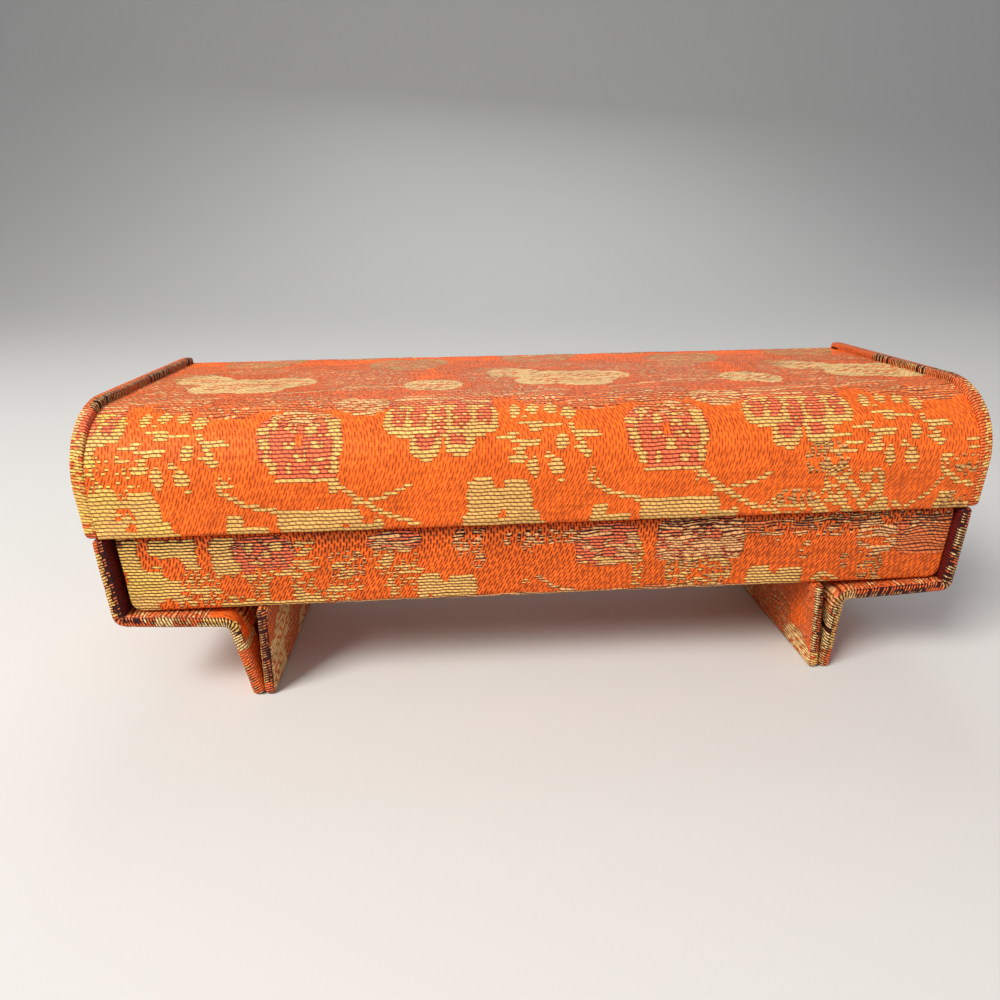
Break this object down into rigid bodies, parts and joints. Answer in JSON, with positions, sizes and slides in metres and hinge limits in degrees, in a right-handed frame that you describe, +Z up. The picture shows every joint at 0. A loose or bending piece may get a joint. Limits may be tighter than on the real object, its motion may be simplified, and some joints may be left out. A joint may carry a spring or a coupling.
{
  "type": "brocade covered keepsake box",
  "caption": "Long low keepsake box covered in orange floral brocade, with a round-nosed lid on a cloth hinge, a lined tray and two runner legs.",
  "frame": {"origin": "centre of the footprint on the table, under the middle of the box", "axes": "+X along the length to the right as seen from the front, +Y from the front to the hinge side, +Z up"},
  "size_m": [0.18, 0.061, 0.0635],
  "materials": {
    "brocade": "woven floral brocade, orange ground with gold and coral figures",
    "satin_lining": "plain satin",
    "wadding": "thin cotton wadding",
    "card": "grey card"
  },
  "bodies": {
    "tray": {"tray_front_board": "card", "tray_front_cloth": "brocade", "tray_back_board": "card", "back_cloth_tray": "brocade", "tray_bottom_board": "card", "underside_cloth": "brocade", "inner_wall_front": "card", "inner_wall_back": "card", "inner_wall_left": "card", "inner_wall_right": "card", "tray_lining": "satin_lining", "tray_pad": "satin_lining", "shell_board_left": "card", "shell_cloth_left": "brocade", "leg_inner_board_left": "card", "leg_inner_cloth_left": "brocade", "shell_board_right": "card", "shell_cloth_right": "brocade", "leg_inner_board_right": "card", "leg_inner_cloth_right": "brocade"},
    "lid": {"lid_wrap_board": "card", "lid_padding": "wadding", "lid_cloth": "brocade", "lid_back_board": "card", "back_cloth_lid": "brocade", "lid_lining": "satin_lining", "lid_end_board_left": "card", "lid_end_cloth_left": "brocade", "lid_end_board_right": "card", "lid_end_cloth_right": "brocade"}
  },
  "joints": [
    {"name": "lid_hinge", "type": "hinge", "parent": "tray", "child": "lid", "pos_m": [0, 0.0305, 0.0382], "axis": [-1, 0, 0], "range_deg": [0, 105]}
  ]
}
